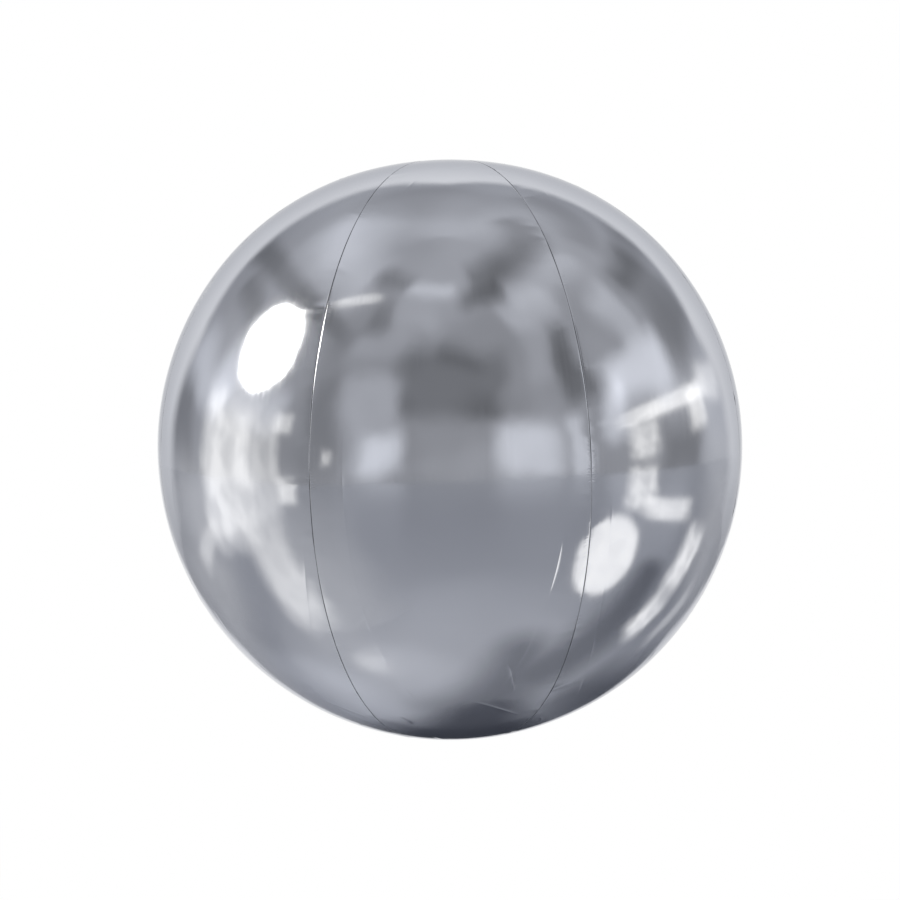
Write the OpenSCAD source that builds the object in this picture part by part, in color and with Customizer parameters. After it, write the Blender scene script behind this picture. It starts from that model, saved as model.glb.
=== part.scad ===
// Foil ball balloon: lens-shaped panels of mirror film sealed edge to edge into one closed envelope,
// with hairline seams from pole to pole and a flat filling neck tucked up behind the lower pole.
// Millimetres, +Z up, front panel towards -Y, origin at the middle of the ball.

/* [Ball] */
// Greatest diameter, at the middle of a panel on the equator
ball_d = 400; // [250:1:800]
// Number of panels round the ball
panel_count = 8; // [6:1:12]
// How far a panel's own axis lies outside the ball's, which swells the panel, as a share of the ball's radius
panel_crown_share = 0.005; // [0.003:0.001:0.02]

/* [Top] */
// Radius of the shoulder arc that leads from the side to the flatter top, as a share of the ball's radius
top_shoulder_share = 0.94; // [0.88:0.005:0.955]
// Angle from the pole at which the side arc ends and the shoulder begins
top_side_angle = 50; // [42:1:60]
// Angle from the pole at which the shoulder ends and the cap begins
top_cap_angle = 15; // [12:1:30]

/* [Bottom] */
// Radius of the lower shoulder arc, as a share of the ball's radius
bottom_shoulder_share = 0.92; // [0.86:0.005:0.925]
// Angle from the lower pole at which the side arc ends and the shoulder begins
bottom_side_angle = 25; // [23:1:40]
// Angle from the lower pole at which the shoulder ends and the cap begins
bottom_cap_angle = 8; // [5:1:15]

/* [Seams] */
// Width of the groove in which the film turns inward at a seam
seam_w = 1; // [0.6:0.1:3]
// Depth of that groove below the edges of the panels
seam_depth = 0.8; // [0.4:0.1:3]

/* [Neck] */
// Width of the neck over its two side seals
neck_w = 26; // [16:0.5:40]
// Length of the neck from the lower pole to its open end
neck_l = 62; // [40:1:90]
// Height of the flattened neck above the panels it lies on
neck_t = 0.5; // [0.3:0.1:2]
// Radius of the two corners at the open end
neck_corner_r = 4; // [1:0.5:7]
// Width of the filling channel between the side seals
channel_w = 12; // [6:0.5:15]
// Height of the filling channel above the side seals
channel_t = 0.5; // [0.3:0.1:2]
// Bare end of the neck beyond the filling channel
channel_end = 5; // [2:0.5:12]

/* [Hidden] */
$fn = 144;
ball_r = ball_d / 2;
half_panel = 180 / panel_count;
// Reach of the sectors and wedges that bound the arcs and panels
reach = ball_d;
panel_crown = ball_r * panel_crown_share;
top_shoulder_r = ball_r * top_shoulder_share;
bottom_shoulder_r = ball_r * bottom_shoulder_share;
// How far the seams lie inside the middles of the panels
seam_sink = panel_crown * (1 - cos(half_panel));
// Where the sides of a panel meet, out from the axis of the ball
panel_tip = seam_w / 2 / sin(half_panel);
// The neck lies along the first seam to the right of the rear panel
front_angle = -90;
neck_angle = front_angle + 180 - half_panel;
// How far the shoulder arcs stand proud of their neighbours, so that the arcs surely meet
arc_lap = ball_d / 40000;
// How much is taken off flat at the poles under the seams and the neck
pole_flat = ball_d / 4000;
film_colour = [0.78, 0.79, 0.83];

// Point at a distance from a centre, at an angle from the pole
function polar(centre, r, angle) = centre + r * [sin(angle), cos(angle)];

// Part of a disc between two angles from the pole
module sector(centre, r, from_angle, to_angle) {
    intersection() {
        translate(centre)
            circle(r = r);
        polygon([
            centre,
            polar(centre, reach, from_angle),
            polar(centre, reach, (from_angle + to_angle) / 2),
            polar(centre, reach, to_angle)
        ]);
    }
}

// Upper half of the ball's section in three tangent arcs, moved sideways, set inward and cut flat at the pole
module half_section(shift, inset, flat, shoulder_r, side_angle, cap_angle) {
    side_c = [shift, 0];
    shoulder_c = polar(side_c, ball_r - shoulder_r, side_angle);
    cap_r = shoulder_r + (shoulder_c.x - shift - panel_crown) / sin(cap_angle);
    cap_c = polar(shoulder_c, shoulder_r - cap_r, cap_angle);
    intersection() {
        union() {
            sector(side_c, ball_r - inset, side_angle, 180 - side_angle);
            translate(shoulder_c)
                circle(r = shoulder_r - inset + arc_lap);
            sector(cap_c, cap_r - inset, -cap_angle, cap_angle);
        }
        square([reach, flat == 0 ? reach : cap_c.y + cap_r - inset - flat]);
    }
}

// Whole section, turned about its own axis
module turned(shift, inset, flat) {
    rotate_extrude() {
        half_section(shift, inset, flat, top_shoulder_r, top_side_angle, top_cap_angle);
        mirror([0, 1])
            half_section(shift, inset, flat, bottom_shoulder_r, bottom_side_angle, bottom_cap_angle);
    }
}

// One film panel, turned about an axis outside the ball's own and cut off short of its two seams
module panel() {
    intersection() {
        translate([panel_crown, 0, 0])
            rotate(180)
                turned(-panel_crown, 0, 0);
        linear_extrude(height = reach + ball_d, center = true)
            polygon([
                [panel_tip, 0],
                [panel_tip + reach, -reach * tan(half_panel)],
                [panel_tip + reach, reach * tan(half_panel)]
            ]);
    }
}

// What closes the ball at the bottom of the seam grooves
module seam_bed() {
    turned(-seam_sink, seam_depth, pole_flat);
}

// Plan of the neck: a tongue from the lower pole, with rounded corners at its open end
module tongue(width, length, corner_r) {
    circle(d = width);
    translate([0, -width / 2])
        square([length - corner_r, width]);
    translate([0, corner_r - width / 2])
        square([length, width - 2 * corner_r]);
    for (side = [-1, 1])
        translate([length - corner_r, side * (width / 2 - corner_r)])
            circle(r = corner_r);
}

// A tongue of film that lies on the underside of the ball
module laid_on(height) {
    intersection() {
        turned(0, -height, pole_flat);
        rotate(neck_angle)
            translate([0, 0, -ball_d])
                linear_extrude(height = ball_d)
                    children();
    }
}

// Filling neck: two plies sealed flat at the sides, with the filling channel between them
module neck() {
    laid_on(neck_t)
        tongue(neck_w, neck_l, neck_corner_r);
    laid_on(neck_t + channel_t)
        translate([0, -channel_w / 2])
            square([neck_l - channel_end, channel_w]);
}

// The sealed envelope, panels, seams and neck in one piece
module envelope() {
    color(film_colour) {
        seam_bed();
        for (i = [0 : panel_count - 1])
            rotate(front_angle + i * 2 * half_panel)
                panel();
        neck();
    }
}

envelope();
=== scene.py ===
"""Looks of the foil ball balloon.

Mirror film panels with puckered seams, a flat neck behind the lower pole, and the studio that the film shows.
Metres, in the CAD frame: +Z up along the pole axis, front panel towards -Y, origin at the middle of the ball.
Angles are in degrees. Azimuth 0 points from the ball to the camera, and 90 to the right of the picture.
"""

import math

import bpy
import numpy as np
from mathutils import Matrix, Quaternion, Vector


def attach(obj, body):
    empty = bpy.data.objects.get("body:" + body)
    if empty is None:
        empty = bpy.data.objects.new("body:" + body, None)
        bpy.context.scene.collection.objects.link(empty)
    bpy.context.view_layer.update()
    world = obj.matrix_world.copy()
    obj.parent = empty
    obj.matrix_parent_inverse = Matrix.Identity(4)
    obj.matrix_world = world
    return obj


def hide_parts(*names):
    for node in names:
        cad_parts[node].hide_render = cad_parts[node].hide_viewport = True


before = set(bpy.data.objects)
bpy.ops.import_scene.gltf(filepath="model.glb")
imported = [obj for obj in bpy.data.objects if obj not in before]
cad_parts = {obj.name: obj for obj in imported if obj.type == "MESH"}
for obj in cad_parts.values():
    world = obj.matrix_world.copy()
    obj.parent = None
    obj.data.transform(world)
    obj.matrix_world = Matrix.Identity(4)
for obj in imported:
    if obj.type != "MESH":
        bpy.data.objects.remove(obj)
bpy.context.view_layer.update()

# Ball
BALL_R = 0.200
PANELS = 8
HALF_PANEL = math.pi / PANELS
PANEL_CROWN = 0.001
TOP = {"shoulder_r": 0.188, "side": 50, "cap": 15}
BOTTOM = {"shoulder_r": 0.184, "side": 25, "cap": 8}

# Seams and the film beside them. A pair of values is a range that is drawn from
LIP = 0.00050
NARROW_LIP = 0.00024
CREVICE = 0.00016
CREVICE_DEPTH = 0.0003
SEAM_DIP = 0.00005
SEAM_DIP_REACH = 0.003
POLE_LIP_SHARE = 0.2
PUCKER_PITCH = 0.010
PUCKER_HEIGHT = 0.00005
PUCKER_WIDTHS = (0.0016, 0.0034)
PUCKER_REACHES = (0.004, 0.012)
TALL_PUCKER_SHARE = 0.10
TALL_PUCKER_SCALE = 5.0
WAVE_COUNT = 7
WAVE_HEIGHT = 0.00008
WAVE_PITCHES = (0.07, 0.16)
WAVE_START = 0.012
POLE_FOLD = 0.00012
POLE_FOLD_START = 0.004
POLE_FOLD_REACH = 0.016
POLE_FOLD_COUNTS = (16, 23, 31)
FULL_TURN = 6.3

# Places along a seam, from 0 at the lower pole to 1 at the upper, where its lips are wide, with their reach
WIDE_LIPS = {0: [(0.63, 0.06)], 1: [(0.62, 0.04), (0.80, 0.025)]}

# Film material: colours, roughness, and the heights of its bumps
FILM_DEEP = (0.74, 0.755, 0.80, 1)
FILM_PALE = (0.80, 0.81, 0.845, 1)
FILM_TINT = (0.56, 0.57, 0.60, 1)
# Painted shade: the darker colour that the film takes in the crevice beside each seam
PAINTED_SEAM_SHADE = (0.20, 0.205, 0.22, 1)
FILM_ROUGH = (0.075, 0.125)
SEAM_ROUGH = 0.3
SLOW_BUMP = 0.0008
MIDDLE_BUMP = 0.00008
STREAK_BUMP = 0.000003
SKIN_BUMP = 0.000002
GATHER_BUMP = 0.00006
FOLD_BUMP = 0.00009

# Mesh: rows from pole to pole, and distances of the columns from a seam at the equator
ROWS = 480
COLUMNS = [0, 0.00016, 0.00030, 0.00055, 0.0013, 0.0028, 0.0055, 0.010, 0.017, 0.027, 0.041, 0.058]

# Neck, along the first seam to the right of the rear panel as seen from the front
NECK_ANGLE = math.radians(67.5)
NECK_W = 0.026
NECK_L = 0.062
NECK_CORNER = 0.004
CHANNEL_W = 0.012
CHANNEL_END = 0.005
NECK_T = 0.0005
NECK_EDGE = 0.0012
NECK_EDGE_SHARE = 0.45
NECK_LIFT = 0.0005
NECK_LIFT_START = 0.04
NECK_GAP = 0.00008
NECK_WAVE = 0.0001
NECK_WAVE_LENGTH = 0.006
CHANNEL_T = 0.0005
CHANNEL_FILL = 0.8
CHANNEL_EDGE = 0.003
CHANNEL_MOUTH = 0.004
SEAL_PITCH = 0.0016
SEAL_RIB = 0.00003
SLACK_HEIGHT = 0.00016
SLACK_PITCH = 0.0046
SLACK_BEND = 0.011
SLACK_START = 0.02
NECK_ROWS = 190
NECK_COLUMNS = 56

# Camera, as measured in the photograph
CAM_DISTANCE = 0.789
CAM_ELEVATION = 6.15
CAM_ROLL = 1.09
CAM_LENS = 44.65
CAM_SENSOR = 36
CAM_SHIFT_Y = -0.0027

# Floor and backdrop
FLOOR_Z = -2.0
FLOOR_R = 17.8
FLOOR_SIDES = 96
FLOOR_COLOUR = (0.745, 0.76, 0.80, 1)
FLOOR_ROUGH = 0.22
FLOOR_IOR = 1.6
WALL_Y = 5.0
WALL_HALF = 7.2
WALL_TOP = 8.6

# White part of the floor and the backdrop: the picture's sides, its lower edge, and a lens on the backdrop
FRAME_START = 0.8
FRAME_SLOPE = 0.42
FRAME_SOFT = (0.02, 0.6)
FRAME_FLOOR = (2.7, 3.05)
FRAME_TOP = (2.2, 3.2)
LENS_Z = 2.4
LENS_ABOVE = 4.9
LENS_BELOW = 30.0
LENS_EDGE = (0.77, 1.07)
LENS_FOOT = (-3.2, 0.6)

# Card of painted shade on the floor, low and high corners
CARD_LOW = (-1.1, -1.6)
CARD_HIGH = (4.0, 2.9)
CARD_LIFT = 0.01
PAINTED_SHADE_COLOUR = (0.15, 0.16, 0.19, 1)
STROKE_EDGE = 1.15

# Lamps
PANEL_DISTANCE = 2.2
LOW_PANEL = -20
FLOOR_SHARE = 0.85
LAMP_COLOUR = (1.0, 0.975, 0.91, 1)
LAMP_SPOT_SIZE = 0.1


# Film surface


def arcs(end):
    """Centres and radii of the three arcs of one half of a panel's section, from the panel's own axis."""
    side, cap = math.radians(end["side"]), math.radians(end["cap"])
    shoulder_r = end["shoulder_r"]
    shoulder_x = (BALL_R - shoulder_r) * math.sin(side) - PANEL_CROWN
    shoulder_z = (BALL_R - shoulder_r) * math.cos(side)
    cap_r = shoulder_r + shoulder_x / math.sin(cap)
    cap_z = shoulder_z + (shoulder_r - cap_r) * math.cos(cap)
    return side, cap, (shoulder_x, shoulder_z, shoulder_r), (cap_z, cap_r)


def outside(end, rho, z):
    """How far points lie outside the section, by distance from its axis and height above the equator."""
    side, cap, (sx, sz, sr), (cz, cr) = arcs(end)
    by_side = np.hypot(rho + PANEL_CROWN, z) - BALL_R
    by_shoulder = np.hypot(rho - sx, z - sz) - sr
    by_cap = np.hypot(rho, z - cz) - cr
    on_side = np.arctan2(rho + PANEL_CROWN, z) >= side
    on_shoulder = np.arctan2(rho - sx, z - sz) >= cap
    return np.where(on_side, by_side, np.where(on_shoulder, by_shoulder, by_cap))


def film_radius(polar, turn):
    """Radius of the film, by angle from the upper pole and turn from a panel's middle."""
    low = np.full(polar.shape, 0.95 * BALL_R)
    high = np.full(polar.shape, 1.02 * BALL_R)
    for _ in range(40):
        mid = (low + high) / 2
        x = mid * np.sin(polar) * np.cos(turn) - PANEL_CROWN
        y = mid * np.sin(polar) * np.sin(turn)
        z = mid * np.cos(polar)
        rho = np.hypot(x, y)
        gap = np.where(z >= 0, outside(TOP, rho, z), outside(BOTTOM, rho, -z))
        low = np.where(gap < 0, mid, low)
        high = np.where(gap < 0, high, mid)
    return (low + high) / 2


def column_turns(radius):
    """Turns from a seam towards a panel's middle for one row, closer together beside the seam."""
    half = radius * HALF_PANEL
    full = BALL_R * HALF_PANEL
    power = max(0.3, math.log(LIP / max(half, 2 * LIP)) / math.log(LIP / full))
    return [HALF_PANEL * (c / full) ** power for c in COLUMNS]


def grid():
    """Angles of the film's grid: rows from pole to pole without the poles, columns once round from a seam."""
    polar = np.linspace(0, math.pi, ROWS + 1)[1:-1]
    rows = []
    for p in polar:
        half = column_turns(BALL_R * math.sin(p))
        one = [-HALF_PANEL + h for h in half] + [0] + [HALF_PANEL - h for h in half[:0:-1]]
        rows.append(one)
    turn = np.tile(np.array(rows), (1, PANELS))
    panel = np.repeat(np.arange(PANELS), 2 * len(COLUMNS))[None, :] * np.ones((len(polar), 1))
    return polar[:, None] * np.ones_like(turn), turn, panel


def lip_size(polar, panel, side):
    """Radius of the lips beside each seam, wide in a few places and narrow elsewhere."""
    rng = np.random.default_rng(3)
    seam = (panel + (side > 0)) % PANELS
    up = 1 - polar / math.pi
    size = np.full(polar.shape, NARROW_LIP)
    for k in range(PANELS):
        places = [(rng.uniform(0.3, 0.85), rng.uniform(0.02, 0.06)) for _ in range(2)]
        for at, reach in WIDE_LIPS.get(k, places):
            size += np.where(seam == k, (LIP - NARROW_LIP) * np.exp(-(((up - at) / reach) ** 2)), 0)
    return np.minimum(size, LIP)


def seam_lip(across, lip):
    """Depth of the film beside a seam: a shallow dip, then a round lip that turns inward into a crevice."""
    inner = np.clip(1 - across / lip, 0, 1)
    crevice = CREVICE_DEPTH * np.clip(1 - across / CREVICE, 0, 1)
    return lip * (1 - np.sqrt(1 - inner**2)) + crevice + SEAM_DIP * np.exp(-across / SEAM_DIP_REACH)


def puckers(along, across, panel, side):
    """Small gathers that run away from the seams, where the film is taken up to follow the curve."""
    rng = np.random.default_rng(8)
    height = np.zeros_like(along)
    length = math.pi * BALL_R
    for k in range(PANELS):
        for s in (-1, 1):
            here = (panel == k) & (side == s)
            a, c = along[here], across[here]
            total = np.zeros_like(a)
            at = 0.0
            while at < length:
                at += PUCKER_PITCH * rng.uniform(0.4, 1.6)
                tall = PUCKER_HEIGHT * rng.uniform(0.2, 1.0)
                tall *= TALL_PUCKER_SCALE if rng.random() < TALL_PUCKER_SHARE else 1.0
                wide = rng.uniform(*PUCKER_WIDTHS)
                reach = rng.uniform(*PUCKER_REACHES)
                lean = rng.uniform(-0.5, 0.5)
                total += tall * np.exp(-(((a - at - lean * c) / wide) ** 2) - (c / reach) ** 2)
            height[here] = total
    return height


def waves(along, across, panel, turn):
    """Slow unevenness of the film inside each panel, none at the seams."""
    rng = np.random.default_rng(21)
    height = np.zeros_like(along)
    for k in range(PANELS):
        here = panel == k
        a, t = along[here], turn[here] / HALF_PANEL
        total = np.zeros_like(a)
        for _ in range(WAVE_COUNT):
            pitch = rng.uniform(*WAVE_PITCHES)
            size = rng.uniform(-1, 1)
            lean = rng.uniform(-2.5, 2.5)
            total += size * np.sin(2 * math.pi * a / pitch + lean * t + rng.uniform(0, FULL_TURN))
        height[here] = total
    return WAVE_HEIGHT / 2 * height * (1 - np.exp(-across / WAVE_START))


def pole_folds(polar, turn, panel):
    """Fine folds that gather the film round each pole."""
    rng = np.random.default_rng(5)
    height = np.zeros_like(polar)
    for pole in (0, math.pi):
        out = BALL_R * np.abs(polar - pole)
        fade = np.exp(-((out / POLE_FOLD_REACH) ** 2)) * (1 - np.exp(-((out / POLE_FOLD_START) ** 2)))
        round_angle = turn + 2 * HALF_PANEL * panel
        for count in POLE_FOLD_COUNTS:
            size = rng.uniform(0.4, 1.0)
            height += size * fade * np.sin(count * round_angle + rng.uniform(0, FULL_TURN))
    return POLE_FOLD / 2 * height


def grid_normals(points, poles):
    """Normals of a closed grid with uneven spacing, by differences that keep reflections smooth."""

    def slope(before, here, after):
        a = np.linalg.norm(here - before, axis=-1, keepdims=True)
        b = np.linalg.norm(after - here, axis=-1, keepdims=True)
        return (after - here) / b * a / (a + b) + (here - before) / a * b / (a + b)

    across = slope(np.roll(points, 1, axis=1), points, np.roll(points, -1, axis=1))
    top = np.broadcast_to(poles[0], points[:1].shape)
    bottom = np.broadcast_to(poles[1], points[:1].shape)
    down = slope(np.concatenate([top, points[:-1]]), points, np.concatenate([points[1:], bottom]))
    normal = np.cross(down, across)
    return normal / np.linalg.norm(normal, axis=-1, keepdims=True)


def film_mesh():
    """The whole film as one closed mesh, with the way across and along each panel in its UV map."""
    polar, turn, panel = grid()
    base = film_radius(polar, turn)
    along = BALL_R * polar
    across = base * np.sin(polar) * (HALF_PANEL - np.abs(turn))
    side = np.where(turn < 0, -1, 1)
    height = puckers(along, across, panel, side) + waves(along, across, panel, turn)
    height += pole_folds(polar, turn, panel)
    # Near the poles a lip is held to a share of its ring's radius
    lip = np.minimum(seam_lip(across, lip_size(polar, panel, side)), POLE_LIP_SHARE * BALL_R * np.sin(polar))
    r = base + height - lip
    # Panel 0 is at the front, and panels go round to the right of the picture
    azimuth = turn + 2 * HALF_PANEL * panel
    x = r * np.sin(polar) * np.sin(azimuth)
    y = -r * np.sin(polar) * np.cos(azimuth)
    points = np.stack([x, y, r * np.cos(polar)], axis=-1)
    zeros = np.zeros((2, 1))
    pole_r = film_radius(np.array([[1e-5], [math.pi - 1e-5]]), zeros)
    poles = [np.array([0, 0, pole_r[0, 0]]), np.array([0, 0, -pole_r[1, 0]])]

    normals = grid_normals(points, poles)
    rows, cols = polar.shape
    seam = (np.arange(cols) % (2 * len(COLUMNS))) == 0
    normals[:, seam] = points[:, seam] / np.linalg.norm(points[:, seam], axis=-1, keepdims=True)
    verts = np.concatenate([points.reshape(-1, 3), poles])
    normals = np.concatenate([normals.reshape(-1, 3), [[0, 0, 1], [0, 0, -1]]])

    faces = []
    for i in range(rows - 1):
        for j in range(cols):
            k = (j + 1) % cols
            faces.append((i * cols + j, (i + 1) * cols + j, (i + 1) * cols + k, i * cols + k))
    north, south = rows * cols, rows * cols + 1
    for j in range(cols):
        k = (j + 1) % cols
        faces.append((north, j, k))
        faces.append((south, (rows - 1) * cols + k, (rows - 1) * cols + j))

    mesh = bpy.data.meshes.new("film")
    mesh.from_pydata(verts.tolist(), [], faces)
    mesh.polygons.foreach_set("use_smooth", [True] * len(mesh.polygons))

    # U counts the panels and runs across each, V runs from the lower pole to the upper
    u = (azimuth / (2 * HALF_PANEL) + 0.5).ravel().tolist() + [0.5, 0.5]
    v = (1 - polar / math.pi).ravel().tolist() + [1, 0]
    corner = np.empty(len(mesh.loops), dtype=np.int64)
    mesh.loops.foreach_get("vertex_index", corner)
    uv = np.stack([np.array(u)[corner], np.array(v)[corner]], axis=-1)
    starts = np.empty(len(mesh.polygons), dtype=np.int64)
    totals = np.empty(len(mesh.polygons), dtype=np.int64)
    mesh.polygons.foreach_get("loop_start", starts)
    mesh.polygons.foreach_get("loop_total", totals)
    face_of = np.repeat(np.arange(len(mesh.polygons)), totals)
    highest = np.maximum.reduceat(uv[:, 0], starts)[face_of]
    wrapped = (highest > PANELS - 1) & (uv[:, 0] < 0.5)
    uv[wrapped, 0] += PANELS
    mesh.uv_layers.new(name="panels").data.foreach_set("uv", uv.ravel())
    mesh.normals_split_custom_set_from_vertices(normals.tolist())
    mesh.update()
    return mesh


# Neck


def underside(x, y):
    """Height of the film under the ball, near the seam on which the neck lies, x along it and y across."""
    rho = np.maximum(np.hypot(x, y), 1e-6)
    turn = HALF_PANEL - np.minimum(np.abs(np.arctan2(y, x)), HALF_PANEL)
    r = np.full(x.shape, BALL_R)
    for _ in range(6):
        r = film_radius(math.pi - np.arcsin(rho / r), turn)
    return -np.sqrt(r**2 - rho**2)


def neck_height(along, across):
    """Height of the neck's outer ply above the film: ribbed sealed sides and a slack, wrinkled channel."""
    edge = np.clip((NECK_W / 2 - np.abs(across)) / NECK_EDGE, 0, 1)
    inside = np.clip((CHANNEL_W / 2 - np.abs(across)) / CHANNEL_EDGE, 0, 1)
    open_end = np.clip((NECK_L - CHANNEL_END - along) / CHANNEL_MOUTH, 0, 1)
    channel = inside**2 * (3 - 2 * inside) * open_end
    ribs = SEAL_RIB * np.sin(2 * math.pi * along / SEAL_PITCH) * (1 - channel) * edge
    fold = np.sin(2 * math.pi * across / SLACK_PITCH + 3 * np.sin(along / SLACK_BEND))
    slack = SLACK_HEIGHT * fold * channel * np.clip(along / SLACK_START, 0, 1)
    wave = NECK_WAVE * np.sin(along / NECK_WAVE_LENGTH + 40 * across) * np.clip(along / NECK_L, 0, 1)
    flat = NECK_T * (NECK_EDGE_SHARE + (1 - NECK_EDGE_SHARE) * np.sqrt(edge))
    return flat + CHANNEL_FILL * CHANNEL_T * channel + ribs + slack + wave


def neck_mesh():
    """The flat neck as a closed thin mesh that starts round the lower pole and lies on the film behind it."""
    rows, cols = NECK_ROWS, NECK_COLUMNS
    along = np.linspace(-NECK_W / 2 + 0.0002, NECK_L, rows)[:, None] * np.ones((1, cols + 1))
    back = np.sqrt(np.maximum((NECK_W / 2) ** 2 - np.minimum(along, 0) ** 2, 0))
    corner = np.clip(along - NECK_L + NECK_CORNER, 0, NECK_CORNER)
    half = np.where(along < 0, back, NECK_W / 2 - NECK_CORNER + np.sqrt(NECK_CORNER**2 - corner**2))
    across = half * np.linspace(-1, 1, cols + 1)[None, :]
    base = underside(along, across)
    lift = NECK_LIFT * np.clip((along - NECK_LIFT_START) / (NECK_L - NECK_LIFT_START), 0, 1) ** 2
    full = NECK_W / 2 - half + np.abs(across)
    outer = base - lift - neck_height(along, full)
    inner = base - lift - NECK_GAP
    c, d = math.cos(NECK_ANGLE), math.sin(NECK_ANGLE)
    x, y = c * along - d * across, d * along + c * across
    verts = np.concatenate([np.stack([x, y, z], axis=-1).reshape(-1, 3) for z in (outer, inner)])
    wide, below = cols + 1, rows * (cols + 1)
    faces = []
    for i in range(rows - 1):
        for j in range(cols):
            a, b = i * wide + j, (i + 1) * wide + j
            faces.append((a, a + 1, b + 1, b))
            faces.append((below + a, below + b, below + b + 1, below + a + 1))
    ring = [j for j in range(cols)] + [i * wide + cols for i in range(rows - 1)]
    ring += [(rows - 1) * wide + j for j in range(cols, 0, -1)] + [i * wide for i in range(rows - 1, 0, -1)]
    for a, b in zip(ring, ring[1:] + ring[:1]):
        faces.append((a, below + a, below + b, b))
    mesh = bpy.data.meshes.new("neck")
    mesh.from_pydata(verts.tolist(), [], faces)
    mesh.polygons.foreach_set("use_smooth", [True] * (len(mesh.polygons) - len(ring)) + [False] * len(ring))
    corner_of = np.empty(len(mesh.loops), dtype=np.int64)
    mesh.loops.foreach_get("vertex_index", corner_of)
    u = np.tile((0.5 + across / 0.2).ravel(), 2)
    v = np.tile((0.02 + along / 4).ravel(), 2)
    uv = np.stack([u[corner_of], v[corner_of]], axis=-1)
    mesh.uv_layers.new(name="panels").data.foreach_set("uv", uv.ravel())
    mesh.update()
    return mesh


# Materials


class Nodes:
    """Short calls to add and link shader nodes."""

    def __init__(self, tree):
        self.tree = tree
        tree.nodes.clear()

    def put(self, socket, value):
        if isinstance(value, bpy.types.NodeSocket):
            self.tree.links.new(value, socket)
        else:
            socket.default_value = value

    def add(self, kind, settings=None, **inputs):
        node = self.tree.nodes.new("ShaderNode" + kind)
        for name, value in (settings or {}).items():
            setattr(node, name, value)
        for name, value in inputs.items():
            self.put(node.inputs[name.replace("_", " ")], value)
        return node

    def math(self, operation, a, b=None):
        node = self.tree.nodes.new("ShaderNodeMath")
        node.operation = operation
        self.put(node.inputs[0], a)
        if b is not None:
            self.put(node.inputs[1], b)
        return node.outputs[0]

    def ramp(self, value, low, high, to_low=0.0, to_high=1.0):
        node = self.add("MapRange", {"interpolation_type": "SMOOTHSTEP"}, Value=value)
        for name, v in (("From Min", low), ("From Max", high), ("To Min", to_low), ("To Max", to_high)):
            self.put(node.inputs[name], v)
        return node.outputs["Result"]

    def mix_shader(self, share, first, second):
        node = self.add("MixShader", Fac=share)
        self.put(node.inputs[1], first)
        self.put(node.inputs[2], second)
        return node.outputs[0]

    def mix_colour(self, share, first, second):
        return self.add("MixRGB", Fac=share, Color1=first, Color2=second).outputs["Color"]

    def box(self, value, centre, width, soft):
        """1 within a width about a centre, 0 outside it, with soft ends."""
        off = self.math("ABSOLUTE", self.math("SUBTRACT", value, centre))
        return self.ramp(off, (width - soft) / 2, (width + soft) / 2, 1.0, 0.0)


def crease(n, x, s, at_x, at_s, lean, bend, start, end, width):
    """A fold line on a panel, in millimetres and degrees: 1 on it, 0 beside it and past its ends."""
    c, d = math.cos(math.radians(lean)), math.sin(math.radians(lean))
    dx, ds = n.math("SUBTRACT", x, at_x), n.math("SUBTRACT", s, at_s)
    run = n.math("ADD", n.math("MULTIPLY", dx, d), n.math("MULTIPLY", ds, c))
    off = n.math("SUBTRACT", n.math("MULTIPLY", dx, c), n.math("MULTIPLY", ds, d))
    if bend:
        off = n.math("ADD", off, n.math("MULTIPLY", n.math("MULTIPLY", run, run), bend))
    line = n.math("POWER", 0.37, n.math("DIVIDE", n.math("ABSOLUTE", off), width))
    return n.math("MULTIPLY", line, n.box(run, (start + end) / 2, 0.75 * (end - start), 0.5 * (end - start)))


def film_creases(n, panel, x, s):
    """Fold lines and wrinkles of each panel, shifted from panel to panel and strongest in front."""
    shift_x = n.math("MULTIPLY", n.math("SINE", n.math("MULTIPLY", panel, 2.4)), 9.0)
    shift_s = n.math("MULTIPLY", n.math("SINE", n.math("MULTIPLY", panel, 1.9)), 16.0)
    x, s = n.math("ADD", x, shift_x), n.math("ADD", s, shift_s)
    right = (53, 247, 15.5, 0.0012)
    left = (-51.8, 249, -12.0, -0.00155)
    height = None
    # Place across and along, lean, bend, start and end along the line, width and height
    for at_x, at_s, lean, bend, start, end, width, tall in [
        # Long folds that lean in towards the lower pole, sharper in places
        (*right, -100, 60, 1.2, 0.6),
        (*right, -12, 42, 1.1, 1.2),
        (*left, -90, 80, 1.2, 0.4),
        (*left, 44, 72, 0.9, 0.8),
        (*left, -36, -16, 1.0, 2.0),
        (*left, -82, -60, 1.0, 2.2),
        # Short wrinkles near the lower pole
        (34, 188, -8.0, 0.006, -12, 12, 1.1, 2.6),
        (26, 155.5, -50.7, 0.004, -16, 16, 1.2, 2.4),
        (-30, 141, -36.0, 0.02, -8, 8, 1.2, 2.6),
        (9, 118, 20.0, 0.005, -14, 14, 1.2, 1.6),
        (-12, 96, -24.0, -0.005, -12, 12, 1.2, 1.6),
        # Two near the upper pole
        (12, 552, 70.0, 0.0, -8, 8, 1.0, 0.8),
        (-20, 520, 24.0, 0.0, -10, 10, 1.0, 0.5),
    ]:
        line = n.math("MULTIPLY", crease(n, x, s, at_x, at_s, lean, bend, start, end, width), tall)
        height = line if height is None else n.math("ADD", height, line)
    share = n.math("ADD", n.math("MULTIPLY", n.math("LESS_THAN", panel, 0.5), 0.55), 0.45)
    return n.math("MULTIPLY", height, share)


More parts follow.
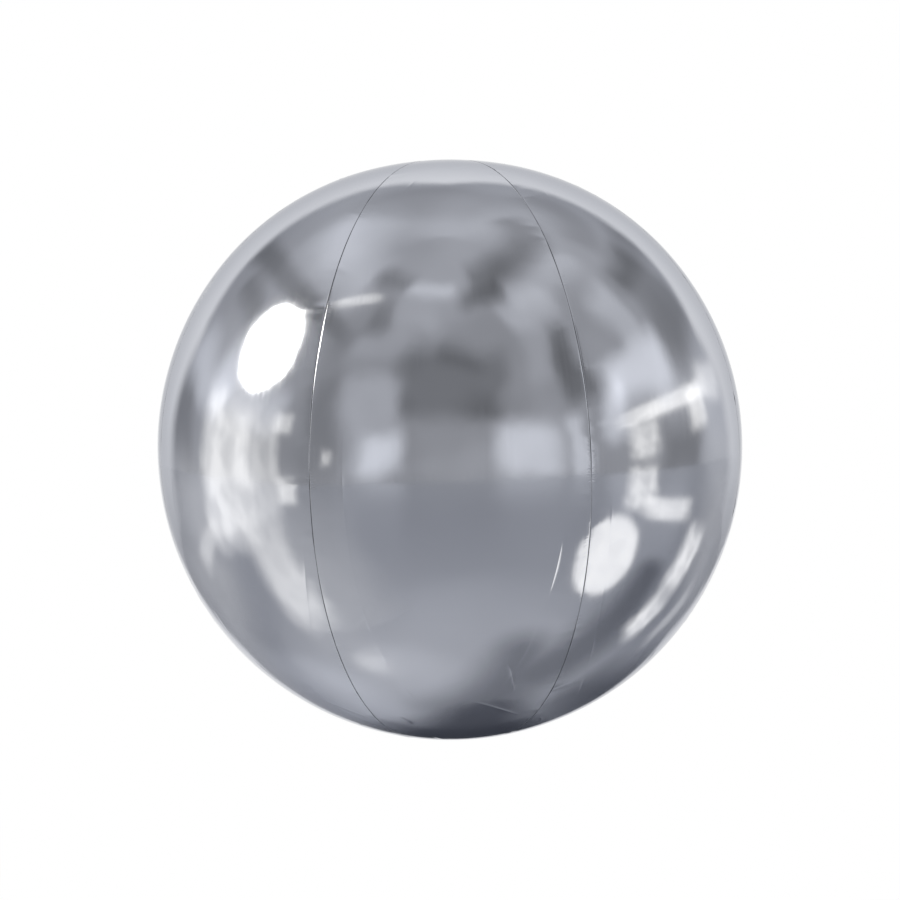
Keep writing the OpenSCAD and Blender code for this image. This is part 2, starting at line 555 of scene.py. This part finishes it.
def film_material():
    """Metallised film: a bluish silver mirror with faint haze, fine skin, streaks, folds, and seam lines
    darkened by painted shade in their crevices.
    """
    material = bpy.data.materials.new("mirror_film")
    material.use_nodes = True
    n = Nodes(material.node_tree)
    place = n.add("TexCoord").outputs["Object"]
    uv = n.add("UVMap", {"uv_map": "panels"}).outputs["UV"]
    part = n.add("SeparateXYZ", Vector=uv).outputs
    panel = n.math("FLOOR", part["X"])
    # Millimetres across and along a panel, and from its nearer seam
    taper = n.math("SINE", n.math("MULTIPLY", part["Y"], math.pi))
    width = n.math("MULTIPLY", taper, 2000 * HALF_PANEL * BALL_R)
    x = n.math("MULTIPLY", n.math("SUBTRACT", n.math("FRACT", part["X"]), 0.5), width)
    s = n.math("MULTIPLY", part["Y"], 1000 * math.pi * BALL_R)
    seam = n.math("SUBTRACT", n.math("MULTIPLY", width, 0.5), n.math("ABSOLUTE", x))

    cloud = n.add("TexNoise", Vector=place, Scale=9.0, Detail=3.0).outputs["Fac"]
    colour = n.mix_colour(cloud, FILM_DEEP, FILM_PALE)
    # Painted shade in the crevice beside each seam: the colour darkens towards the seam in patches, and fades
    # out near the lower pole
    seam_shade = n.ramp(seam, 1000 * CREVICE, 2500 * CREVICE, 1.0, 0.0)
    shade_breakup = n.add("TexNoise", Vector=place, Scale=26.0, Detail=2.0).outputs["Fac"]
    shade_breakup = n.math("MULTIPLY", n.ramp(s, 12.0, 30.0), n.ramp(shade_breakup, 0.35, 0.6, 0.5, 1.0))
    seam_shade = n.math("MULTIPLY", seam_shade, shade_breakup)
    colour = n.mix_colour(seam_shade, colour, PAINTED_SEAM_SHADE)

    stretched = n.add("Mapping", Vector=uv, Scale=(26.0, 2.0, 1.0)).outputs["Vector"]
    streak = n.add("TexNoise", Vector=stretched, Scale=3.0, Detail=4.0).outputs["Fac"]
    rough = n.ramp(n.math("ADD", cloud, streak), 0.7, 1.4, *FILM_ROUGH)
    rough = n.math("ADD", rough, n.math("MULTIPLY", seam_shade, SEAM_ROUGH))

    slow = n.add("TexNoise", Vector=place, Scale=14.0, Detail=1.0).outputs["Fac"]
    middle = n.add("TexNoise", Vector=place, Scale=45.0, Detail=2.0).outputs["Fac"]
    skin = n.add("TexNoise", Vector=place, Scale=330.0, Detail=2.0).outputs["Fac"]
    # Hair-fine gathers that run out from the seams in places
    across = n.add("CombineXYZ")
    for axis, value, scale in (("X", seam, 0.25), ("Y", s, 0.9), ("Z", part["X"], 3.0)):
        n.put(across.inputs[axis], n.math("MULTIPLY", value, scale))
    gather = n.add("TexNoise", Vector=across.outputs[0], Scale=1.0, Detail=1.0).outputs["Fac"]
    places = n.add("TexNoise", Vector=place, Scale=60.0, Detail=1.0).outputs["Fac"]
    beside = n.math("MULTIPLY", n.ramp(places, 0.45, 0.65), n.ramp(seam, 0.6, 4.0, 1.0, 0.0))
    gather = n.math("MULTIPLY", gather, beside)
    folds = film_creases(n, panel, x, s)
    bump = n.add("Bump", Strength=1.0, Distance=SLOW_BUMP, Height=slow).outputs["Normal"]
    for height, distance in (
        (middle, MIDDLE_BUMP),
        (streak, STREAK_BUMP),
        (skin, SKIN_BUMP),
        (gather, GATHER_BUMP),
        (folds, FOLD_BUMP),
    ):
        bump = n.add("Bump", Strength=1.0, Distance=distance, Height=height, Normal=bump).outputs["Normal"]

    shader = n.add("BsdfPrincipled", Base_Color=colour, Metallic=1.0, Roughness=rough, Normal=bump)
    shader.inputs["Specular Tint"].default_value = FILM_TINT
    out = n.add("OutputMaterial")
    n.put(out.inputs["Surface"], shader.outputs["BSDF"])
    return material


# Stage


def pale(name, mask_of, rest):
    """Pale surface. Where the mask is 1 it is the white background, which the film shows as well."""
    material = bpy.data.materials.new(name)
    material.use_nodes = True
    n = Nodes(material.node_tree)
    at = n.add("SeparateXYZ", Vector=n.add("TexCoord").outputs["Object"])
    mask = mask_of(n, at.outputs["X"], at.outputs["Y"], at.outputs["Z"])
    rays = n.add("LightPath").outputs
    reflected = n.math("MAXIMUM", rays["Is Glossy Ray"], rays["Is Transmission Ray"])
    seen = n.math("MAXIMUM", rays["Is Camera Ray"], reflected)
    plain = n.add("BsdfPrincipled", Base_Color=FLOOR_COLOUR, Roughness=FLOOR_ROUGH, IOR=FLOOR_IOR).outputs[0]
    white = n.add("Emission", Color=(1, 1, 1, 1), Strength=1.0).outputs[0]
    if rest == "plain":
        shader = n.mix_shader(n.math("MULTIPLY", seen, mask), plain, white)
    else:
        clear = n.add("BsdfTransparent").outputs[0]
        shader = n.mix_shader(mask, clear, n.mix_shader(seen, plain, white))
    n.put(n.add("OutputMaterial").inputs["Surface"], shader)
    return material


def stage_mesh(name, verts, faces, material):
    """A piece of the stage, which isn't part of the object."""
    mesh = bpy.data.meshes.new(name)
    mesh.from_pydata(verts, [], faces)
    mesh.materials.append(material)
    obj = bpy.data.objects.new(name, mesh)
    bpy.context.scene.collection.objects.link(obj)
    return obj


def in_frame(n, x, y):
    """1 inside the sides of the picture, on the floor and the backdrop, falling softly to 0 outside them."""
    side = n.math("MULTIPLY", n.math("ADD", y, FRAME_START), FRAME_SLOPE)
    return n.ramp(n.math("SUBTRACT", n.math("ABSOLUTE", x), side), *FRAME_SOFT, 1.0, 0.0)


def floor_mask(n, x, y, _):
    """The floor that the picture shows."""
    return n.math("MULTIPLY", n.ramp(y, *FRAME_FLOOR), in_frame(n, x, y))


def wall_mask(n, x, y, z):
    """A broad lens above the level of the ball, and below it only what the picture shows."""
    wide = n.math("DIVIDE", n.math("ABSOLUTE", x), WALL_HALF)
    above = n.math("MAXIMUM", n.math("DIVIDE", n.math("SUBTRACT", z, LENS_Z), LENS_ABOVE), 0.0)
    below = n.math("MAXIMUM", n.math("DIVIDE", n.math("SUBTRACT", LENS_Z, z), LENS_BELOW), 0.0)
    lens = n.ramp(n.math("ADD", wide, n.math("ADD", above, below)), *LENS_EDGE, 1.0, 0.0)
    lens = n.math("MULTIPLY", lens, n.ramp(z, *LENS_FOOT))
    picture = n.math("MULTIPLY", in_frame(n, x, y), n.ramp(z, *FRAME_TOP, 1.0, 0.0))
    return n.math("MAXIMUM", lens, picture)


def painted_shade_strokes(n, x, y):
    """Soft strokes of painted shade: dense ones from behind that narrow towards the ball, and thinner ones to
    its right.
    """
    total = None
    # Start, end, half width at each, density, and the share of the half width that is at full density
    for start, end, start_half, end_half, dense, inner in [
        ((0.06, 2.85), (0.07, 1.60), 0.72, 0.66, 0.96, 0.35),
        ((0.07, 1.60), (0.20, 0.60), 0.66, 0.48, 0.92, 0.15),
        ((0.22, 0.50), (0.68, -0.50), 0.64, 0.52, 0.64, 0.0),
        ((0.75, 0.00), (3.00, 0.10), 0.70, 0.66, 0.64, 0.1),
        ((1.00, 2.60), (0.95, 1.20), 0.80, 0.64, 0.62, 0.0),
    ]:
        length = math.dist(start, end)
        ux, uy = (end[0] - start[0]) / length, (end[1] - start[1]) / length
        dx, dy = n.math("SUBTRACT", x, start[0]), n.math("SUBTRACT", y, start[1])
        run = n.math("ADD", n.math("MULTIPLY", dx, ux / length), n.math("MULTIPLY", dy, uy / length))
        run = n.math("MINIMUM", n.math("MAXIMUM", run, 0.0), 1.0)
        off_x = n.math("SUBTRACT", dx, n.math("MULTIPLY", run, ux * length))
        off_y = n.math("SUBTRACT", dy, n.math("MULTIPLY", run, uy * length))
        square = n.math("ADD", n.math("MULTIPLY", off_x, off_x), n.math("MULTIPLY", off_y, off_y))
        off = n.math("SQRT", square)
        half = n.math("ADD", n.math("MULTIPLY", run, end_half - start_half), start_half)
        stroke = n.ramp(n.math("DIVIDE", off, half), inner, STROKE_EDGE, dense, 0.0)
        total = stroke if total is None else n.math("MAXIMUM", total, stroke)
    return total


def painted_floor_shade():
    """Painted shade: a dark card on the floor below the picture, standing in for the floor's shade behind and
    below the ball. Only the film shows it, as the ball's dark underside.
    """
    material = bpy.data.materials.new("painted_floor_shade")
    material.use_nodes = True
    n = Nodes(material.node_tree)
    at = n.add("SeparateXYZ", Vector=n.add("TexCoord").outputs["Object"]).outputs
    # Painted shade: a dark colour laid on the floor in soft strokes, seen only in the film's reflection
    dark = n.add("BsdfDiffuse", Color=PAINTED_SHADE_COLOUR).outputs[0]
    clear = n.add("BsdfTransparent").outputs[0]
    shader = n.mix_shader(painted_shade_strokes(n, at["X"], at["Y"]), clear, dark)
    n.put(n.add("OutputMaterial").inputs["Surface"], shader)
    (x0, y0), (x1, y1), z = CARD_LOW, CARD_HIGH, FLOOR_Z + CARD_LIFT
    corners = [(x0, y0, z), (x1, y0, z), (x1, y1, z), (x0, y1, z)]
    card = stage_mesh("painted_floor_shade", corners, [(0, 1, 2, 3)], material)
    card.visible_camera = False
    card.visible_diffuse = False
    card.visible_shadow = False


def build_stage():
    """A round floor, the card of painted shade on it, and a backdrop behind the ball."""
    turns = [2 * math.pi * i / FLOOR_SIDES for i in range(FLOOR_SIDES)]
    ring = [(FLOOR_R * math.cos(t), FLOOR_R * math.sin(t), FLOOR_Z) for t in turns]
    stage_mesh("floor", ring, [tuple(range(FLOOR_SIDES))], pale("floor", floor_mask, "plain"))
    places = [(-WALL_HALF, FLOOR_Z), (WALL_HALF, FLOOR_Z), (WALL_HALF, WALL_TOP), (-WALL_HALF, WALL_TOP)]
    corners = [(x, WALL_Y, z) for x, z in places]
    painted_floor_shade()
    stage_mesh("wall", corners, [(0, 1, 2, 3)], pale("wall", wall_mask, "clear"))


# Lights


def direction(azimuth, elevation):
    """Unit vector from the ball, by azimuth and elevation."""
    a, e = math.radians(azimuth), math.radians(elevation)
    return Vector((math.sin(a) * math.cos(e), -math.cos(a) * math.cos(e), math.sin(e)))


def panel_light(
    name, azimuth, elevation, width, height, level, soft=0.4, round_edge=False, tilt=0, uneven=0.08
):
    """A soft panel that faces the ball, by the angles that it takes up round the ball and its brightness."""
    far = PANEL_DISTANCE
    if elevation - height / 2 < LOW_PANEL:
        # Low panels come nearer, so that they stay above the floor
        far = min(far, FLOOR_SHARE * -FLOOR_Z / math.sin(math.radians(height / 2 - elevation)))
    # The lamp is larger than the panel by its soft edge
    grow = 1 + soft / 2
    lamp = bpy.data.lights.new(name, "AREA")
    lamp.shape = "RECTANGLE"
    lamp.size = 2 * far * math.tan(math.radians(grow * width * math.cos(math.radians(elevation)) / 2))
    lamp.size_y = 2 * far * math.tan(math.radians(grow * height / 2))
    lamp.energy = 4 * lamp.size * lamp.size_y * level
    lamp.use_nodes = True
    n = Nodes(lamp.node_tree)
    place = n.add("NewGeometry").outputs["Parametric"]
    ripple = n.add("TexNoise", Vector=place, Scale=5.0, Detail=2.0).outputs["Color"]
    shift = n.add("VectorMath", {"operation": "SUBTRACT"})
    n.put(shift.inputs[0], ripple)
    shift.inputs[1].default_value = (0.5, 0.5, 0.5)
    moved = n.add("VectorMath", {"operation": "MULTIPLY_ADD"})
    n.put(moved.inputs[0], shift.outputs[0])
    moved.inputs[1].default_value = (uneven, uneven, 0)
    n.put(moved.inputs[2], place)
    at = n.add("SeparateXYZ", Vector=moved.outputs[0])
    edge = soft / grow / 2
    if round_edge:
        u = n.math("SUBTRACT", at.outputs["X"], 0.5)
        v = n.math("SUBTRACT", at.outputs["Y"], 0.5)
        out = n.math("SQRT", n.math("ADD", n.math("MULTIPLY", u, u), n.math("MULTIPLY", v, v)))
        strength = n.ramp(out, 0.5 - edge, 0.49, 1.0, 0.0)
    else:
        across = n.box(at.outputs["X"], 0.5, 1 - edge, edge)
        strength = n.math("MULTIPLY", across, n.box(at.outputs["Y"], 0.5, 1 - edge, edge))
    patches = n.add("SeparateXYZ", Vector=ripple).outputs["Z"]
    patchy = n.ramp(patches, 0.35, 0.65, 1.0 - 2 * uneven, 1.0 + uneven)
    glow = n.add("Emission", Color=LAMP_COLOUR, Strength=n.math("MULTIPLY", strength, patchy))
    n.put(n.add("OutputLight").inputs["Surface"], glow.outputs[0])
    obj = bpy.data.objects.new(name, lamp)
    to = direction(azimuth, elevation)
    # The film throws the camera's view this way from a point on its surface
    mirror = BALL_R * (to + direction(0, CAM_ELEVATION)).normalized()
    obj.location = mirror + far * to
    obj.rotation_mode = "QUATERNION"
    obj.rotation_quaternion = (-to).to_track_quat("-Z", "Y") @ Quaternion((0, 0, 1), math.radians(tilt))
    bpy.context.scene.collection.objects.link(obj)


def floor_light(name, at, aim, angle, watts):
    """Lights a patch of the floor. The film shows the patch but not the lamp."""
    lamp = bpy.data.lights.new(name, "SPOT")
    lamp.energy = watts
    lamp.spot_size = math.radians(angle)
    lamp.spot_blend = 1.0
    lamp.shadow_soft_size = LAMP_SPOT_SIZE
    obj = bpy.data.objects.new(name, lamp)
    obj.location = at
    obj.rotation_mode = "QUATERNION"
    obj.rotation_quaternion = (Vector((*aim, FLOOR_Z)) - obj.location).to_track_quat("-Z", "Y")
    obj.visible_glossy = False
    bpy.context.scene.collection.objects.link(obj)


def build_lights():
    """Softboxes, window panes and fills round the ball, by azimuth, elevation, width, height and level."""
    panel_light("key_softbox", -83, 31, 30, 28, 5.0, soft=0.12, round_edge=True, uneven=0.03)
    panel_light("low_softbox", 66, -32, 30, 27, 0.62, soft=0.30, round_edge=True, uneven=0.04)
    panel_light("left_window", -92, -5, 26, 38, 0.52, 0.6, uneven=0.16)
    panel_light("left_window_side", -73, -3, 15, 34, 0.28, 0.7, uneven=0.16)
    panel_light("left_top_pane", -64, 11, 8, 6, 0.36, 0.9)
    panel_light("left_low_pane", -62, -9, 9, 8, 0.45, 0.9)
    panel_light("left_low_glow", -78, -36, 22, 32, 0.36, 1.0)
    panel_light("left_low_haze", -56, -34, 36, 44, 0.09, 1.5)
    panel_light("left_far_streak", -115, -22, 20, 5, 0.25, 1.0, tilt=15)
    panel_light("left_low_fill", -138, -21, 60, 34, 0.20, 1.2)
    panel_light("small_lamp", -45, 2, 3.5, 4.5, 0.36, 1.2, uneven=0.2)
    panel_light("right_bar", 90, 10.5, 44, 4.5, 0.60, 0.7, uneven=0.14)
    panel_light("right_side_pane", 76, 3, 14, 11, 0.42, 0.8, uneven=0.14)
    panel_light("right_pane", 75, -11, 15, 13, 0.46, 0.7, uneven=0.14)
    panel_light("right_sill", 91, -17, 24, 6, 0.50, 0.8)
    panel_light("right_far_pane", 107, 6, 11, 9, 0.50, 0.7)
    panel_light("right_end_pane", 120, 9, 16, 7, 0.35, 1.0, tilt=-15)
    panel_light("right_streak", 113, -27, 13, 15, 0.60, 0.8, uneven=0.14)
    panel_light("right_streak_low", 114, -41, 13, 12, 0.60, 0.9, uneven=0.14)
    panel_light("right_far_streak", 135, -33, 8, 12, 0.25, 1.0)
    panel_light("right_low_fill", 140, -16, 48, 28, 0.17, 1.2)
    panel_light("ceiling_strip", -57, 55, 28, 3.5, 0.40, 0.9, tilt=34)
    floor_light("back_floor", (-0.75, -2.2, 0.4), (-0.92, 1.2), 26, 240)
    floor_light("front_floor", (-0.5, -2.6, 2.2), (0.35, -1.25), 40, 55)
    floor_light("near_floor", (-1.3, -1.2, 1.5), (-0.42, -0.25), 20, 70)


def build_world():
    """A mid-grey studio round the ball, with paler and darker stretches of wall and ceiling."""
    world = bpy.data.worlds.new("studio")
    bpy.context.scene.world = world
    world.use_nodes = True
    n = Nodes(world.node_tree)
    way = n.add("TexCoord").outputs["Generated"]
    ripple = n.add("TexNoise", Vector=way, Scale=2.5, Detail=1.0).outputs["Color"]
    uneven = n.add("SeparateXYZ", Vector=ripple).outputs
    at = n.add("SeparateXYZ", Vector=way).outputs
    degrees = 180 / math.pi
    azimuth = n.math("MULTIPLY", n.math("ARCTAN2", at["X"], n.math("MULTIPLY", at["Y"], -1.0)), degrees)
    azimuth = n.math("ADD", azimuth, n.ramp(uneven["X"], 0.2, 0.8, -4.0, 4.0))
    elevation = n.math("MULTIPLY", n.math("ARCSINE", at["Z"]), degrees)
    elevation = n.math("ADD", elevation, n.ramp(uneven["Y"], 0.2, 0.8, -2.5, 2.5))

    beside = n.math("ABSOLUTE", azimuth)
    level = n.math("ADD", n.ramp(elevation, 35.0, 75.0, 0.32, 0.40), n.ramp(beside, 55.0, 120.0, 0.0, 0.10))
    level = n.math("ADD", level, n.ramp(uneven["Z"], 0.3, 0.7, -0.03, 0.03))
    # Azimuth, elevation, width and height of each stretch, how much paler it is, and its soft edge
    for a, e, width, height, change, soft in [
        # Front wall: pale uprights, a dark block above them, and the ceiling's edge
        (-30, 13, 18, 38, 0.14, 8),
        (-27, 2, 12, 17, 0.30, 9),
        (29, 4, 21, 21, 0.38, 10),
        (48, 3, 9, 20, 0.32, 7),
        (1, 28, 42, 25, -0.14, 9),
        (6, 40, 18, 10, -0.06, 8),
        (-1, 4, 30, 18, 0.04, 10),
        (38, 38, 14, 22, 0.10, 10),
        (54, 31, 12, 28, -0.16, 8),
        (46, 52, 34, 12, 0.15, 9),
        (-49, 15, 14, 60, -0.05, 10),
        (-30, 42, 26, 12, 0.09, 10),
        (-16, 53, 26, 12, 0.06, 10),
        (-12, 65, 34, 6, 0.22, 6),
        (-43, 66, 34, 7, -0.14, 7),
        (26, 61, 34, 9, -0.19, 8),
        (-37, 53, 14, 12, -0.10, 8),
        # Left wall, above the window and beside it
        (-98, 15, 64, 10, 0.25, 9),
        (-97, 18, 14, 14, 0.26, 9),
        (-96, 63, 80, 15, 0.22, 18),
        (-122, 3, 14, 16, -0.12, 8),
        (-112, 0, 16, 26, -0.04, 12),
        (-114, 33, 24, 6, -0.13, 6),
        # Right wall, above the window and behind the gap in it
        (84, 20, 38, 13, 0.41, 10),
        (86, 36, 16, 20, 0.18, 9),
        (66, 12, 12, 16, 0.32, 9),
        (95, -3, 22, 17, -0.14, 9),
        (116, 30, 24, 26, -0.15, 10),
        (135, 52, 40, 10, -0.10, 9),
        (128, 5, 36, 15, 0.18, 12),
        (75, 69, 120, 10, -0.20, 9),
        (70, 58, 60, 10, 0.10, 10),
    ]:
        patch = n.math("MULTIPLY", n.box(azimuth, a, width, soft), n.box(elevation, e, height, soft))
        level = n.math("ADD", level, n.math("MULTIPLY", patch, change))
    # The dark edge above the backdrop
    patch = n.math("MULTIPLY", n.box(beside, 180.0, 70.0, 30.0), n.box(elevation, 66.0, 22.0, 12.0))
    level = n.math("ADD", level, n.math("MULTIPLY", patch, -0.10))
    # Straight ceiling beams, each highest at an azimuth and elevation and falling away to both sides
    for a, e, half_width, change, low, high in [
        (-85, 48, 3.0, -0.17, -150, -55),
        (95, 43, 4.0, -0.10, 100, 150),
    ]:
        dot = n.add("VectorMath", {"operation": "DOT_PRODUCT"})
        n.put(dot.inputs[0], way)
        dot.inputs[1].default_value = direction(a, e - 90)
        off = n.math("MULTIPLY", n.math("ARCSINE", dot.outputs["Value"]), degrees)
        across = n.box(off, 0.0, 2 * half_width, 1.5 * half_width)
        band = n.math("MULTIPLY", across, n.box(azimuth, (low + high) / 2, high - low, 25.0))
        level = n.math("ADD", level, n.math("MULTIPLY", band, change))
    colour = n.add("CombineXYZ")
    n.put(colour.inputs["X"], n.math("MULTIPLY", level, 0.98))
    n.put(colour.inputs["Y"], level)
    n.put(colour.inputs["Z"], n.math("MULTIPLY", level, 1.06))
    shade = n.add("Background", Color=colour.outputs[0], Strength=1.0)
    n.put(n.add("OutputWorld").inputs["Surface"], shade.outputs[0])


# Camera and scene


def build_camera():
    """The camera of the photograph, which looks at the middle of the ball."""
    data = bpy.data.cameras.new("camera")
    data.lens = CAM_LENS
    data.sensor_width = CAM_SENSOR
    data.shift_y = CAM_SHIFT_Y
    data.clip_start, data.clip_end = 0.01, 100
    obj = bpy.data.objects.new("camera", data)
    to = direction(0, CAM_ELEVATION)
    obj.location = CAM_DISTANCE * to
    obj.rotation_mode = "QUATERNION"
    obj.rotation_quaternion = (-to).to_track_quat("-Z", "Y") @ Quaternion((0, 0, 1), -math.radians(CAM_ROLL))
    bpy.context.scene.collection.objects.link(obj)
    bpy.context.scene.camera = obj


surface = film_material()
for mesh in (film_mesh(), neck_mesh()):
    mesh.materials.append(surface)
    piece = bpy.data.objects.new(mesh.name, mesh)
    bpy.context.scene.collection.objects.link(piece)
    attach(piece, "root")
    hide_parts("envelope")

build_stage()
build_lights()
build_world()
build_camera()
bpy.context.scene.view_settings.view_transform = "Standard"
